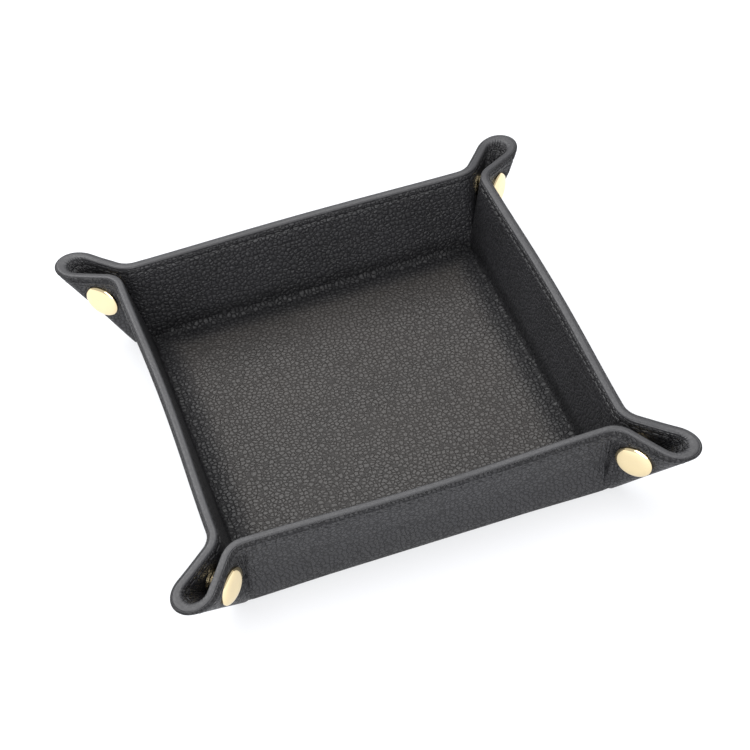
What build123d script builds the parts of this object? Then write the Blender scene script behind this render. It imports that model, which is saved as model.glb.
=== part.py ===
import os
from math import atan2, cos, hypot, radians, sin

from build123d import *

os.makedirs("parts", exist_ok=True)

# Square leather tray folded up from one sheet: a floor, four leaning walls and, at each corner,
# two flaps that meet in a rounded spout and are held together by a press snap.
# Millimetres and degrees. Z up, the origin under the middle of the floor.

# Sheet
floor_side = 120.0
leather_thickness = 3.5
board_thickness = 0.9
wall_height = 30.0
wall_lean = 12.0
board_margin = 5.0
rim_round = 1.1
joint_gap = 0.3

# Corner spout, measured in the section square to its axis at the reference distance from the corner
spout_tilt = 35.0
spout_reference = 40.0
spout_reach = 10.8
spout_inner_radius = 4.2
pinch_flare = 6.0
spout_start = 0.6
spout_overrun = 8.0
fold_overrun = 3.0
seam_turn = 40.0
seam_gap = 0.4

# Press snaps
snap_distance = 22.6
snap_line_share = 0.7
snap_press = 0.2
cap_radius = 6.25
cap_edge = 0.6
cap_dome = 1.5
post_radius = 1.25
post_reach = 0.5
post_play = 0.05
stud_radius = 3.8
stud_flange = 0.9
knob_radius = 1.65
socket_radius = 4.0
socket_plate = 0.6
bore_radius = 2.05
spring_ring_radius = 2.25
spring_wire_radius = 0.2
snap_play = 0.38

# Derived from the sheet
lean = radians(wall_lean)
half_floor = floor_side / 2
half_gap = joint_gap / 2
mid_ply = leather_thickness / 2
fold_offset = leather_thickness * (1 - sin(lean)) / cos(lean)
mitre_length = hypot(leather_thickness, fold_offset)
mitre_shift = half_gap * mitre_length / leather_thickness

# Frame of the front right corner: away from the tray along the diagonal, aside to the front wall
apex = Vector(half_floor, -half_floor, leather_thickness)
upward = Vector(0, 0, 1)
away = Vector(1, -1, 0).normalized()
aside = Vector(-1, -1, 0).normalized()
wall_up = Vector(0, -sin(lean), cos(lean))
wall_out = Vector(0, -cos(lean), -sin(lean))
tilt = radians(spout_tilt)
spout_axis = away * sin(tilt) + upward * cos(tilt)
spout_across = away * cos(tilt) - upward * sin(tilt)

diagonal_plane = Plane(origin=apex, z_dir=aside)

# The wall's trace in a section square to the spout's axis
rise = wall_up.dot(spout_axis)
fold_aside = wall_up.dot(aside) / rise
fold_across = wall_up.dot(spout_across) / rise
trace = Vector(1, 0, 0) - wall_up * (Vector(1, 0, 0).dot(spout_axis) / rise)
trace_aside = trace.dot(aside)
trace_across = trace.dot(spout_across)
entry = -atan2(-trace_aside, trace_across)
flare = radians(pinch_flare)


def along_heading(heading):
    """Unit direction in the section, turned by heading from the across direction towards the wall."""
    return Vector(sin(heading), cos(heading), 0)


def beside_heading(heading):
    """Unit direction in the section square to the heading, on the leather's outer side."""
    return Vector(cos(heading), -sin(heading), 0)


entry_side = beside_heading(entry)
flare_side = beside_heading(flare)
flare_along = along_heading(flare)

# Outer radius of the first bend and length of the straight that follows it, both at the reference
# distance: the spout's round then closes on the diagonal plane at the wanted reach.
fold_at_reference = Vector(fold_aside, fold_across, 0) * spout_reference
turn = entry_side - flare_side
target = Vector(0, spout_reach - spout_inner_radius, 0) - fold_at_reference
target = target - turn * leather_thickness + flare_side * spout_inner_radius
pivot = turn.X * flare_along.Y - turn.Y * flare_along.X
bend_radius = (target.X * flare_along.Y - target.Y * flare_along.X) / pivot
straight_length = (turn.X * target.Y - turn.Y * target.X) / pivot


def spout_nodes(distance, offset):
    """Nodes of one flap's section at a distance along the spout and an offset from its inner face."""
    scale = distance / spout_reference
    fold = Vector(fold_aside, fold_across, 0) * distance
    bend = bend_radius * scale + leather_thickness
    first_centre = fold + entry_side * bend
    bend_end = first_centre - flare_side * bend
    straight_end = bend_end + flare_along * (straight_length * scale)
    inner_radius = spout_inner_radius * scale
    second_centre = straight_end - flare_side * inner_radius
    closing = radians(-90)
    middle_bend = (entry + flare) / 2
    middle_round = (flare + closing) / 2
    return [
        fold + entry_side * offset - along_heading(entry) * fold_overrun,
        fold + entry_side * offset,
        first_centre - beside_heading(middle_bend) * (bend - offset),
        bend_end + flare_side * offset,
        straight_end + flare_side * offset,
        second_centre + beside_heading(middle_round) * (inner_radius + offset),
        second_centre + beside_heading(closing) * (inner_radius + offset),
    ]


def round_centre(distance):
    """Centre of the spout's round in the section at a distance along the spout."""
    section = spout_nodes(distance, 0)
    centre = section[4] - flare_side * (spout_inner_radius * distance / spout_reference)
    return apex + spout_axis * distance + aside * centre.X + spout_across * centre.Y


# Seam between a flap and the spout's tip: a plane through the centres of the round
seam_heading = flare - radians(seam_turn)
seam_side = beside_heading(seam_heading)
seam_ruling = round_centre(2 * spout_reference) - round_centre(spout_reference)
seam_normal = seam_ruling.cross(aside * seam_side.X + spout_across * seam_side.Y).normalized()
seam_origin = round_centre(spout_reference)


def spout_plane(distance):
    """Plane square to the spout's axis, its x aside and its y across."""
    return Plane(origin=apex + spout_axis * distance, x_dir=aside, z_dir=spout_axis)


def corner_layer(inner, outer):
    """One layer of half a corner: straight rulings from the corner up, cut at the rim and the foot."""
    far = spout_reference + spout_overrun
    with BuildPart() as layer:
        for distance in (spout_start, far):
            near_side = spout_nodes(distance, inner)
            far_side = spout_nodes(distance, outer)
            with BuildSketch(spout_plane(distance)):
                with BuildLine():
                    Line(near_side[0], near_side[1])
                    ThreePointArc(near_side[1], near_side[2], near_side[3])
                    Line(near_side[3], near_side[4])
                    ThreePointArc(near_side[4], near_side[5], near_side[6])
                    Line(near_side[6], far_side[6])
                    ThreePointArc(far_side[6], far_side[5], far_side[4])
                    Line(far_side[4], far_side[3])
                    ThreePointArc(far_side[3], far_side[2], far_side[1])
                    Line(far_side[1], far_side[0])
                    Line(far_side[0], near_side[0])
                make_face()
        loft(ruled=True)
        split(bisect_by=Plane(origin=apex + wall_up * wall_height, z_dir=wall_up), keep=Keep.BOTTOM)
        split(bisect_by=Plane(origin=apex, z_dir=upward), keep=Keep.TOP)
    return layer.part


def flap_layer(inner, outer):
    """One layer of a flap, from the end of its wall to the seam with the spout's tip."""
    near = seam_origin - seam_normal * (seam_gap / 2)
    with BuildPart() as layer:
        add(corner_layer(inner, outer))
        split(bisect_by=Plane(origin=apex + Vector(half_gap, 0, 0), z_dir=(1, 0, 0)), keep=Keep.TOP)
        split(bisect_by=Plane(origin=apex + aside * half_gap, z_dir=aside), keep=Keep.TOP)
        split(bisect_by=Plane(origin=near, z_dir=seam_normal), keep=Keep.BOTTOM)
    return layer.part


def tip_layer(inner, outer):
    """One layer of a spout's tip, from the seam with one flap round to the seam with the other."""
    far = seam_origin + seam_normal * (seam_gap / 2)
    with BuildPart() as layer:
        add(corner_layer(inner, outer))
        split(bisect_by=Plane(origin=apex, z_dir=aside), keep=Keep.TOP)
        split(bisect_by=Plane(origin=far, z_dir=seam_normal), keep=Keep.TOP)
        mirror(about=diagonal_plane)
    return layer.part


# Snap position: on the straight of the section, its axis square to the diagonal plane
snap_inner = spout_nodes(snap_distance, 0)
snap_outer = spout_nodes(snap_distance, leather_thickness)
seat_inner = snap_inner[3] + (snap_inner[4] - snap_inner[3]) * snap_line_share
seat_outer = snap_outer[3] + (snap_outer[4] - snap_outer[3]) * snap_line_share
snap_half_space = seat_inner.X + snap_press
cap_seat = seat_outer.X - snap_press
snap_centre = apex + spout_axis * snap_distance + spout_across * ((seat_inner.Y + seat_outer.Y) / 2)
socket_height = 2 * snap_half_space - stud_flange - snap_play
stud_face = snap_half_space - stud_flange
knob_end = socket_plate + snap_play - snap_half_space
snap_profile = Plane(origin=snap_centre, x_dir=spout_axis, z_dir=spout_axis.cross(aside))
snap_line = Axis(origin=snap_centre, direction=aside)


def snap_disc(radius, start, end):
    """Plain disc about the snap's axis between two distances from the diagonal plane."""
    with BuildPart() as disc:
        with BuildSketch(Plane(origin=snap_centre + aside * start, x_dir=spout_axis, z_dir=aside)):
            Circle(radius)
        extrude(amount=end - start)
    return disc.part


def snap_cap():
    """Domed cap on the outer face with the post that goes through the leather."""
    post_end = snap_half_space - post_reach
    with BuildPart() as cap:
        with BuildSketch(snap_profile):
            with BuildLine():
                Line((0, post_end), (post_radius, post_end))
                Line((post_radius, post_end), (post_radius, cap_seat))
                Line((post_radius, cap_seat), (cap_radius, cap_seat))
                Line((cap_radius, cap_seat), (cap_radius, cap_seat + cap_edge))
                Spline(
                    [(cap_radius, cap_seat + cap_edge), (0, cap_seat + cap_dome)],
                    tangents=[(-1, 1), (-1, 0)],
                )
                Line((0, cap_seat + cap_dome), (0, post_end))
            make_face()
        revolve(axis=snap_line)
    return cap.part


def snap_stud():
    """Flange and knob on the inner face of one flap."""
    with BuildPart() as stud:
        add(snap_disc(stud_radius, snap_half_space, stud_face))
        add(snap_disc(knob_radius, stud_face, knob_end))
        add(snap_disc(post_radius + post_play, snap_half_space, stud_face), mode=Mode.SUBTRACT)
    return stud.part


def snap_spring(extra):
    """Wire ring that grips the knob, round the bore; extra widens the wire for its groove."""
    depth = (stud_face - snap_play - snap_half_space + socket_plate) / 2
    with BuildPart() as spring:
        with BuildSketch(snap_profile):
            with Locations((spring_ring_radius, depth)):
                Circle(spring_wire_radius + extra)
        revolve(axis=snap_line)
    return spring.part


def snap_socket():
    """Socket on the inner face of the other flap, with the bore for the knob."""
    top = stud_face - snap_play
    bore_floor = socket_plate - snap_half_space
    with BuildPart() as socket:
        add(snap_disc(socket_radius, -snap_half_space, top))
        add(snap_disc(bore_radius, bore_floor, top), mode=Mode.SUBTRACT)
        add(snap_disc(post_radius + post_play, -snap_half_space, bore_floor), mode=Mode.SUBTRACT)
        add(snap_spring(post_play), mode=Mode.SUBTRACT)
    return socket.part


def flap_outer():
    """Outer leather of a flap with the cap's recess and the post's hole."""
    beyond = cap_seat + cap_radius
    with BuildPart() as ply:
        add(flap_layer(mid_ply, leather_thickness))
        add(snap_disc(cap_radius + post_play, cap_seat, beyond), mode=Mode.SUBTRACT)
        add(snap_disc(post_radius + post_play, snap_half_space, cap_seat), mode=Mode.SUBTRACT)
    return ply.part


def flap_inner():
    """Lining of a flap with the recess of the snap's inner half and the post's hole."""
    with BuildPart() as ply:
        add(flap_layer(0, mid_ply))
        add(snap_disc(socket_radius + post_play, 0, snap_half_space), mode=Mode.SUBTRACT)
        add(snap_disc(post_radius + post_play, snap_half_space, cap_seat), mode=Mode.SUBTRACT)
    return ply.part


def wall_point(height, offset):
    """Point of the wall's section: height up its inner face and offset outwards from that face."""
    spot = apex + wall_up * height + wall_out * offset
    return (spot.Y, spot.Z)


def wall_foot(offset):
    """Height at which the mitre under the wall cuts a layer at this offset."""
    fall = leather_thickness * cos(lean) - fold_offset * sin(lean)
    climb = leather_thickness * sin(lean) + fold_offset * cos(lean)
    return (mitre_shift * leather_thickness - offset * fall) / climb


def wall_slab(inner, outer, low, high, half_length, round_outer, round_inner):
    """Straight slab of the front wall, its rim edge rounded on one side if a radius is given."""
    with BuildPart() as slab:
        with BuildSketch(Plane(origin=(-half_length, 0, 0), x_dir=(0, 1, 0), z_dir=(1, 0, 0))):
            with BuildLine():
                Line(wall_point(low[0], inner), wall_point(high - round_inner, inner))
                if round_inner > 0:
                    JernArc(
                        wall_point(high - round_inner, inner),
                        (wall_up.Y, wall_up.Z),
                        round_inner,
                        90,
                    )
                Line(wall_point(high, inner + round_inner), wall_point(high, outer - round_outer))
                if round_outer > 0:
                    JernArc(
                        wall_point(high, outer - round_outer),
                        (wall_out.Y, wall_out.Z),
                        round_outer,
                        90,
                    )
                Line(wall_point(high - round_outer, outer), wall_point(low[1], outer))
                Line(wall_point(low[1], outer), wall_point(low[0], inner))
            make_face()
        extrude(amount=2 * half_length)
    return slab.part


def wall_board():
    """Stiffening board between the two layers of a wall."""
    inner = mid_ply - board_thickness / 2
    outer = mid_ply + board_thickness / 2
    low = (board_margin, board_margin)
    return wall_slab(inner, outer, low, wall_height - board_margin, half_floor - board_margin, 0, 0)


def wall_ply(inner, outer, round_outer, round_inner):
    """One layer of a wall with its half of the board's pocket."""
    low = (wall_foot(inner), wall_foot(outer))
    with BuildPart() as ply:
        add(wall_slab(inner, outer, low, wall_height, half_floor - half_gap, round_outer, round_inner))
        add(wall_board(), mode=Mode.SUBTRACT)
    return ply.part


def floor_half_side(height):
    """Half side of the floor at a height between its underside and its top."""
    return half_floor - mitre_shift + fold_offset * (1 - height / leather_thickness)


def floor_board():
    """Stiffening board inside the floor."""
    side = floor_side - 2 * board_margin
    with BuildPart() as board:
        with BuildSketch(Plane.XY.offset(mid_ply - board_thickness / 2)):
            Rectangle(side, side)
        extrude(amount=board_thickness)
    return board.part


def floor_ply(low, high):
    """One layer of the floor, mitred at its edges, with its half of the board's pocket."""
    with BuildPart() as ply:
        for height in (low, high):
            with BuildSketch(Plane.XY.offset(height)):
                Rectangle(2 * floor_half_side(height), 2 * floor_half_side(height))
        loft(ruled=True)
        add(floor_board(), mode=Mode.SUBTRACT)
    return ply.part


def save(shape, name):
    """Writes one piece under its own name."""
    with BuildPart() as piece:
        add(shape)
    piece.part.label = name
    export_step(piece.part, f"parts/{name}.step")


with BuildPart() as base_outer_leather:
    add(floor_ply(0, mid_ply))
base_outer_leather.part.label = "base_outer_leather"
export_step(base_outer_leather.part, "parts/base_outer_leather.step")

with BuildPart() as base_lining:
    add(floor_ply(mid_ply, leather_thickness))
base_lining.part.label = "base_lining"
export_step(base_lining.part, "parts/base_lining.step")

with BuildPart() as base_board:
    add(floor_board())
base_board.part.label = "base_board"
export_step(base_board.part, "parts/base_board.step")

wall_pieces = {
    "outer_leather": wall_ply(mid_ply, leather_thickness, rim_round, 0),
    "lining": wall_ply(0, mid_ply, 0, rim_round),
    "board": wall_board(),
}
left_hand_pieces = {
    "outer_leather": flap_outer(),
    "lining": flap_inner(),
    "cap": snap_cap(),
    "stud": snap_stud(),
}
right_hand_pieces = {
    "outer_leather": left_hand_pieces["outer_leather"].mirror(diagonal_plane),
    "lining": left_hand_pieces["lining"].mirror(diagonal_plane),
    "cap": left_hand_pieces["cap"].mirror(diagonal_plane),
    "socket": snap_socket(),
    "spring": snap_spring(0),
}

tip_pieces = {
    "outer_leather": tip_layer(mid_ply, leather_thickness),
    "lining": tip_layer(0, mid_ply),
}

# Going round the tray from the front: each wall, then the corner at its far end
walls = ["front", "right", "back", "left"]
for index, wall in enumerate(walls):
    following = walls[(index + 1) % len(walls)]
    quarter = 90 * index
    for piece, shape in wall_pieces.items():
        save(shape.rotate(Axis.Z, quarter), f"wall_{wall}_{piece}")
    for piece, shape in left_hand_pieces.items():
        save(shape.rotate(Axis.Z, quarter), f"flap_{wall}_{following}_{piece}")
    for piece, shape in right_hand_pieces.items():
        save(shape.rotate(Axis.Z, quarter), f"flap_{following}_{wall}_{piece}")
    for piece, shape in tip_pieces.items():
        save(shape.rotate(Axis.Z, quarter), f"spout_{wall}_{following}_{piece}")
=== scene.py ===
import math

import bpy
import numpy as np
from mathutils import Matrix


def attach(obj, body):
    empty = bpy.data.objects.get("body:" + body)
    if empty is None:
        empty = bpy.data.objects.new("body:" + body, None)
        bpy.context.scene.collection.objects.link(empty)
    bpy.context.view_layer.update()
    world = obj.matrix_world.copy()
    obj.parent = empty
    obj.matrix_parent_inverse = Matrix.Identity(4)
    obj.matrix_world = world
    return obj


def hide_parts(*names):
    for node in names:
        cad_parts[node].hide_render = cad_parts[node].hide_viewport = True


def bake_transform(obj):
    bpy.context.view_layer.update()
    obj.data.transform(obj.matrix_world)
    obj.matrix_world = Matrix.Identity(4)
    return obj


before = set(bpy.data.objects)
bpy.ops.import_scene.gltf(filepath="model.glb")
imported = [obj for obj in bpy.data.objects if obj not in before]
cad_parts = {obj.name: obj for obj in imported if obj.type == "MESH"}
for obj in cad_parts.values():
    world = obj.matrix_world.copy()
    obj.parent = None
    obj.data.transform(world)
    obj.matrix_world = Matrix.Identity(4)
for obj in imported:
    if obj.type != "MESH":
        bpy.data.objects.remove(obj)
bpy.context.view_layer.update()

bl_info = {
    "name": "Folded leather valet tray",
    "version": (1, 0, 0),
    "blender": (4, 5, 0),
    "location": "3D View > Sidebar > Tray",
    "description": "Leather, stitching, snaps and studio for a folded valet tray",
    "category": "Add Mesh",
}

WALLS = ("front", "right", "back", "left")
UP = np.array((0.0, 0.0, 1.0))
AWAY = np.array((1.0, -1.0, 0.0)) / math.sqrt(2)
ASIDE = np.array((-1.0, -1.0, 0.0)) / math.sqrt(2)

# Loops along a wall, along a flap's bend, straight and round, and round half a spout tip.
WALL_LOOPS, FLAP_LOOPS, TIP_LOOPS = 141, (41, 25, 17), 61
# Rows of a loop: down a face below its border, down a border, round the rim's edge, across the
# rim, round a wall's bend, and down each half of a corner's foot.
LOW_ROWS, BORDER_ROWS, EDGE_ROWS, RIM_ROWS, BEND_ROWS, FOOT_ROWS = 24, 15, 6, 17, 8, 6
# Rings and sides of one stitch.
STITCH_RINGS, STITCH_SIDES = 9, 8

# Height of the rim's borders, and the width over which the rim's coats fade out.
BORDER_HEIGHT, COAT_FADE = 0.0046, 0.0004
# Widths of the pressed line and the stitch groove; depth and width of the line between the plies.
PRESSED_WIDTH, GROOVE_WIDTH, LINE_DEPTH, LINE_WIDTH = 0.00026, 0.00042, 0.00012, 0.00012
# Darker tone on the outer ply's edge; painted shade in the stitch line and along the floor's
# border.
EDGE_SHADE, STITCH_SHADE, BORDER_SHADE = 0.45, 0.3, 0.85
# Radius and rise of the dome inside a corner, and how far it stands off the table.
DOME_RADIUS, DOME_RISE, DOME_LOW = 0.0028, 0.00335, 0.00005
# Depth of a cap's rim, and the gap between the leather and a snap's metal.
CAP_DEPTH, SNAP_GAP = 0.0014, 0.00004


# ---------------------------------------------------------------- sizes and colours


class SheetSizes(bpy.types.PropertyGroup):
    """Sizes of the folded sheet."""

    floor_side: bpy.props.FloatProperty(
        name="Floor side", description="Side of the square floor between its creases",
        default=0.120, unit="LENGTH", precision=4)
    thickness: bpy.props.FloatProperty(
        name="Thickness", description="Thickness of both leather layers together",
        default=0.0035, unit="LENGTH", precision=5)
    wall_height: bpy.props.FloatProperty(
        name="Wall height", description="Height of a wall up its inner face",
        default=0.030, unit="LENGTH", precision=4)
    wall_lean: bpy.props.FloatProperty(
        name="Wall lean", description="Outward lean of the walls",
        default=math.radians(12), subtype="ANGLE")
    rim_round: bpy.props.FloatProperty(
        name="Rim rounding", description="Radius of the rim's painted edges",
        default=0.0010, unit="LENGTH", precision=5)
    rim_crown: bpy.props.FloatProperty(
        name="Rim crown", description="Rise of the painted edge in its middle",
        default=0.00014, unit="LENGTH", precision=5)
    ply_line: bpy.props.FloatProperty(
        name="Ply line", description="Place of the line between the plies, as a share of the rim",
        default=0.70)
    crease_depth: bpy.props.FloatProperty(
        name="Crease line depth", description="Depth of the line pressed along the rim",
        default=0.00030, unit="LENGTH", precision=5)
    crease_below: bpy.props.FloatProperty(
        name="Crease line position", description="Distance of the pressed line below the rim",
        default=0.0012, unit="LENGTH", precision=5)
    strip: bpy.props.FloatProperty(
        name="Floor strip", description="Width of the floor's border that bends with a wall",
        default=0.002, unit="LENGTH", precision=5)
    foot_round: bpy.props.FloatProperty(
        name="Foot rounding", description="Length that the bend under a wall takes on each side",
        default=0.0015, unit="LENGTH", precision=5)
    crease_round: bpy.props.FloatProperty(
        name="Crease rounding", description="Length that the bend at the floor takes on each side",
        default=0.0019, unit="LENGTH", precision=5)
    foot_swell: bpy.props.FloatProperty(
        name="Foot swell", description="How far the leather stands out along a wall's foot",
        default=0.0017, unit="LENGTH", precision=5)
    heel_swell: bpy.props.FloatProperty(
        name="Heel swell", description="How far the leather stands out at the ends of a foot",
        default=0.0021, unit="LENGTH", precision=5)
    corner_foot: bpy.props.FloatProperty(
        name="Corner foot", description="How far a corner's foot reaches past the floor",
        default=0.0038, unit="LENGTH", precision=5)
    swell_height: bpy.props.FloatProperty(
        name="Swell height", description="Height up to which the foot stands out",
        default=0.014, unit="LENGTH", precision=4)
    sway: bpy.props.FloatVectorProperty(
        name="Wall sway", description="Outward bow of the front, right, back and left rim",
        size=4, default=(0.0012, 0.0012, 0.0011, -0.0012), unit="LENGTH")


class SpoutSizes(bpy.types.PropertyGroup):
    """Sizes of the corner spouts, measured square to the spout's axis."""

    tilt: bpy.props.FloatProperty(
        name="Tilt", description="Lean of the spout's axis from the vertical",
        default=math.radians(35), subtype="ANGLE")
    reference: bpy.props.FloatProperty(
        name="Reference distance", description="Distance from the corner of the given section",
        default=0.040, unit="LENGTH", precision=4)
    reach: bpy.props.FloatProperty(
        name="Reach", description="Distance of the spout's round from its axis",
        default=0.0108, unit="LENGTH", precision=5)
    inner_radius: bpy.props.FloatProperty(
        name="Inner radius", description="Inner radius of the spout's round",
        default=0.0042, unit="LENGTH", precision=5)
    flare: bpy.props.FloatProperty(
        name="Pinch flare", description="Angle by which the pinched sides part outwards",
        default=math.radians(6), subtype="ANGLE")
    seam_turn: bpy.props.FloatProperty(
        name="Tip start", description="Turn of the round at which the spout's tip begins",
        default=math.radians(40), subtype="ANGLE")
    fold_depth: bpy.props.FloatProperty(
        name="Fold depth", description="Depth of the small folds inside the spout",
        default=0.00034, unit="LENGTH", precision=5)
    fold_count: bpy.props.FloatProperty(
        name="Folds", description="Small folds inside each half of the spout", default=7.5)
    wrinkle_depth: bpy.props.FloatProperty(
        name="Wrinkle depth", description="Depth of the wrinkles outside beside the pinch",
        default=0.00020, unit="LENGTH", precision=5)
    wrinkle_pitch: bpy.props.FloatProperty(
        name="Wrinkle spacing", description="Spacing of the wrinkles outside beside the pinch",
        default=0.0015, unit="LENGTH", precision=5)


class StitchSizes(bpy.types.PropertyGroup):
    """Sizes of the stitching along the rim."""

    below: bpy.props.FloatProperty(
        name="Stitch line", description="Distance of the stitch line below the rim",
        default=0.0033, unit="LENGTH", precision=5)
    pitch: bpy.props.FloatProperty(
        name="Stitch spacing", description="Distance from one stitch to the next",
        default=0.0034, unit="LENGTH", precision=5)
    length: bpy.props.FloatProperty(
        name="Stitch length", description="Length of one stitch",
        default=0.0026, unit="LENGTH", precision=5)
    width: bpy.props.FloatProperty(
        name="Thread width", description="Width of the thread",
        default=0.00055, unit="LENGTH", precision=5)
    groove: bpy.props.FloatProperty(
        name="Groove depth", description="Depth to which the stitches pull the leather in",
        default=0.00028, unit="LENGTH", precision=5)


class Finishes(bpy.types.PropertyGroup):
    """Colours and grain."""

    leather: bpy.props.FloatVectorProperty(
        name="Leather", description="Colour of the leather", subtype="COLOR",
        size=4, min=0, max=1, default=(0.0108, 0.0107, 0.0126, 1))
    # A paler, warmer copy of the leather: painted light on the floor, which faces the lamps.
    floor_leather: bpy.props.FloatVectorProperty(
        name="Floor leather", description="Colour of the leather on the floor", subtype="COLOR",
        size=4, min=0, max=1, default=(0.0165, 0.0140, 0.0126, 1))
    edge_paint: bpy.props.FloatVectorProperty(
        name="Edge paint", description="Colour of the painted rim", subtype="COLOR",
        size=4, min=0, max=1, default=(0.024, 0.024, 0.027, 1))
    thread: bpy.props.FloatVectorProperty(
        name="Thread", description="Colour of the thread", subtype="COLOR",
        size=4, min=0, max=1, default=(0.012, 0.012, 0.013, 1))
    gold: bpy.props.FloatVectorProperty(
        name="Snap gold", description="Colour of the snaps' plating", subtype="COLOR",
        size=4, min=0, max=1, default=(0.93, 0.79, 0.51, 1))
    grain: bpy.props.FloatProperty(
        name="Grain size", description="Width of one pebble of the grain",
        default=0.0015, unit="LENGTH", precision=5)


class StageSizes(bpy.types.PropertyGroup):
    """Floor, lamps and camera."""

    floor_side: bpy.props.FloatProperty(
        name="Stage side", description="Side of the pale floor", default=3.0, unit="LENGTH")
    key_power: bpy.props.FloatProperty(
        name="Key power", description="Power of the lamp overhead", default=17.0, unit="POWER")
    fill_power: bpy.props.FloatProperty(
        name="Fill power", description="Power of the lamp behind", default=5.0, unit="POWER")
    front_power: bpy.props.FloatProperty(
        name="Front power", description="Power of the low lamp in front",
        default=23.0, unit="POWER")
    sky: bpy.props.FloatProperty(
        name="Room light", description="Strength of the even light from all round", default=0.62)
    azimuth: bpy.props.FloatProperty(
        name="Camera azimuth", description="Camera's direction round the tray",
        default=math.radians(-14.0333), subtype="ANGLE")
    elevation: bpy.props.FloatProperty(
        name="Camera elevation", description="Camera's height above the horizon",
        default=math.radians(45.3319), subtype="ANGLE")
    roll: bpy.props.FloatProperty(
        name="Camera roll", description="Camera's turn about its line of sight",
        default=math.radians(-6.3557), subtype="ANGLE")
    distance: bpy.props.FloatProperty(
        name="Camera distance", description="Distance of the camera",
        default=0.733042, unit="LENGTH")
    lens: bpy.props.FloatProperty(
        name="Lens", description="Focal length in millimetres", default=104.05)
    aim: bpy.props.FloatVectorProperty(
        name="Aim", description="Point that the camera's distance is measured from",
        default=(0.0, 0.0, 0.012), subtype="XYZ", unit="LENGTH")
    shift: bpy.props.FloatVectorProperty(
        name="Sideways step", description="Camera's step to its right and up",
        size=2, default=(0.0037462, 0.0035500), unit="LENGTH")


# ---------------------------------------------------------------- meshes


def smooth(x):
    """Rises from 0 to 1 as x goes from 0 to 1, level at both ends: x * x * (3 - 2 x)."""
    x = np.clip(x, 0.0, 1.0)
    return x * x * (3 - 2 * x)


def quarter_turn(points, index):
    """Points turned about the vertical by index right angles: each turn takes (x, y) to (-y, x)."""
    for _ in range(index):
        points = np.stack((-points[..., 1], points[..., 0], points[..., 2]), axis=-1)
    return points


def in_diagonal(points):
    """Points mirrored in the corner's diagonal plane, which takes (x, y) to (-y, -x)."""
    return np.stack((-points[..., 1], -points[..., 0], points[..., 2]), axis=-1)


def grid_faces(columns, rows, closed):
    """Four-sided faces of a grid of columns by rows, its rows closed into loops if asked."""
    i = np.arange(columns - 1)[:, None]
    j = np.arange(rows if closed else rows - 1)[None, :]
    k = (j + 1) % rows
    quads = np.stack((i * rows + j, (i + 1) * rows + j, (i + 1) * rows + k, i * rows + k), axis=-1)
    return quads.reshape(-1, 4)


def weld(points, faces):
    """Joins points nearer than a ten-thousandth of a millimetre; faces drop repeated corners."""
    key = np.round(points * 1e7).astype(np.int64)
    _, first, inverse = np.unique(key, axis=0, return_index=True, return_inverse=True)
    inverse = inverse.reshape(-1)
    joined = []
    for face in faces:
        corners = inverse[np.asarray(face)]
        kept = corners[corners != np.roll(corners, 1)]
        if len(kept) > 2 and len(set(kept.tolist())) == len(kept):
            joined.append(kept.tolist())
    return points[first], joined, first


def signed_volume(points, faces):
    """Volume inside a closed mesh: the sum of its faces' tetrahedra with the origin."""
    total = 0.0
    for face in faces:
        p = points[face]
        total += float(np.sum(np.cross(p[1:-1] - p[0], p[2:] - p[0]) @ p[0]))
    return total / 6


def add_piece(name, points, faces, marks=None, sharp=math.radians(50)):
    """Makes a mesh object in place from points and faces, turned outwards, with point values."""
    points, faces, first = weld(np.asarray(points, float), faces)
    if signed_volume(points, faces) < 0:
        faces = [face[::-1] for face in faces]
    mesh = bpy.data.meshes.new(name)
    mesh.from_pydata(points.tolist(), [], faces)
    mesh.polygons.foreach_set("use_smooth", np.ones(len(mesh.polygons), bool))
    for mark, values in (marks or {}).items():
        layer = mesh.attributes.new(mark, "FLOAT", "POINT")
        layer.data.foreach_set("value", np.asarray(values, np.float32)[first])
    mesh.set_sharp_from_angle(angle=sharp)
    mesh.update()
    piece = bpy.data.objects.new(name, mesh)
    bpy.context.scene.collection.objects.link(piece)
    return piece


def loft(name, loops, marks):
    """Closed tube of leather through a row of loops, with its two ends closed flat."""
    columns, rows = loops.shape[:2]
    faces = grid_faces(columns, rows, True).tolist()
    faces.append(list(range(rows)))
    faces.append(list(range((columns - 1) * rows, columns * rows))[::-1])
    flat = {mark: np.broadcast_to(v, (columns, rows)).reshape(-1) for mark, v in marks.items()}
    return add_piece(name, loops.reshape(-1, 3), faces, flat)


# ---------------------------------------------------------------- the folded sheet


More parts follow.
